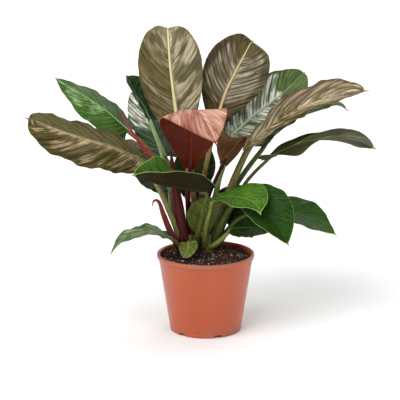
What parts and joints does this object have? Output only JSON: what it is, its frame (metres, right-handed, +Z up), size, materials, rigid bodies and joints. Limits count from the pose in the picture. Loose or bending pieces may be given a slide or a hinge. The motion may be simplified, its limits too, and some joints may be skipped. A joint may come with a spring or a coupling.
{
  "type": "potted philodendron",
  "caption": "Bushy self-heading philodendron with broad bronze and green leaves, young copper leaves and crimson sheaths, in a round terracotta-coloured nursery pot.",
  "frame": {"origin": "middle of the flat underside of the pot, on the surface it stands on", "axes": "+Z up, +X along the plant's greatest spread, -Y towards the front, the side with the copper leaves"},
  "size_m": [0.5896, 0.3532, 0.5207],
  "materials": {
    "pot_plastic": "moulded plastic, satin",
    "compost": "loose, matt",
    "crown_stem": "fleshy, satin",
    "crimson_sheath": "waxy, semi-gloss",
    "leaf_bronze": "waxy, semi-gloss",
    "leaf_green": "waxy, semi-gloss",
    "leaf_fresh_green": "waxy, semi-gloss",
    "leaf_dark_green": "waxy, glossy",
    "leaf_olive": "waxy, satin",
    "leaf_copper": "waxy, glossy"
  },
  "bodies": {
    "root": {"pot": "pot_plastic", "soil": "compost", "crown_left": "crown_stem", "crown_right": "crown_stem", "crown_back": "crown_stem", "sheath_tall": "crimson_sheath", "sheath_short": "crimson_sheath", "new_leaf_spike": "crimson_sheath", "leaf_tall_left": "leaf_bronze", "leaf_tall_right": "leaf_bronze", "leaf_upper_right": "leaf_green", "leaf_right_arching": "leaf_bronze", "leaf_right_under": "leaf_dark_green", "leaf_right_level": "leaf_bronze", "leaf_front_right": "leaf_fresh_green", "leaf_lower_right": "leaf_dark_green", "leaf_far_right_low": "leaf_dark_green", "leaf_right_at_soil": "leaf_dark_green", "leaf_middle_small": "leaf_olive", "leaf_front_left": "leaf_fresh_green", "leaf_left_wide": "leaf_bronze", "leaf_left_upper": "leaf_green", "leaf_upper_left_dark": "leaf_dark_green", "leaf_young_large": "leaf_copper", "leaf_young_small": "leaf_copper", "leaf_left_inner": "leaf_dark_green", "leaf_left_low": "leaf_olive", "leaf_front_small": "leaf_fresh_green", "leaf_middle_dark": "leaf_dark_green", "leaf_middle_back": "leaf_dark_green", "leaf_back_left": "leaf_green", "leaf_back_right": "leaf_green", "leaf_back_middle": "leaf_dark_green", "leaf_back_right_low": "leaf_green", "leaf_back_left_low": "leaf_bronze"}
  },
  "joints": []
}
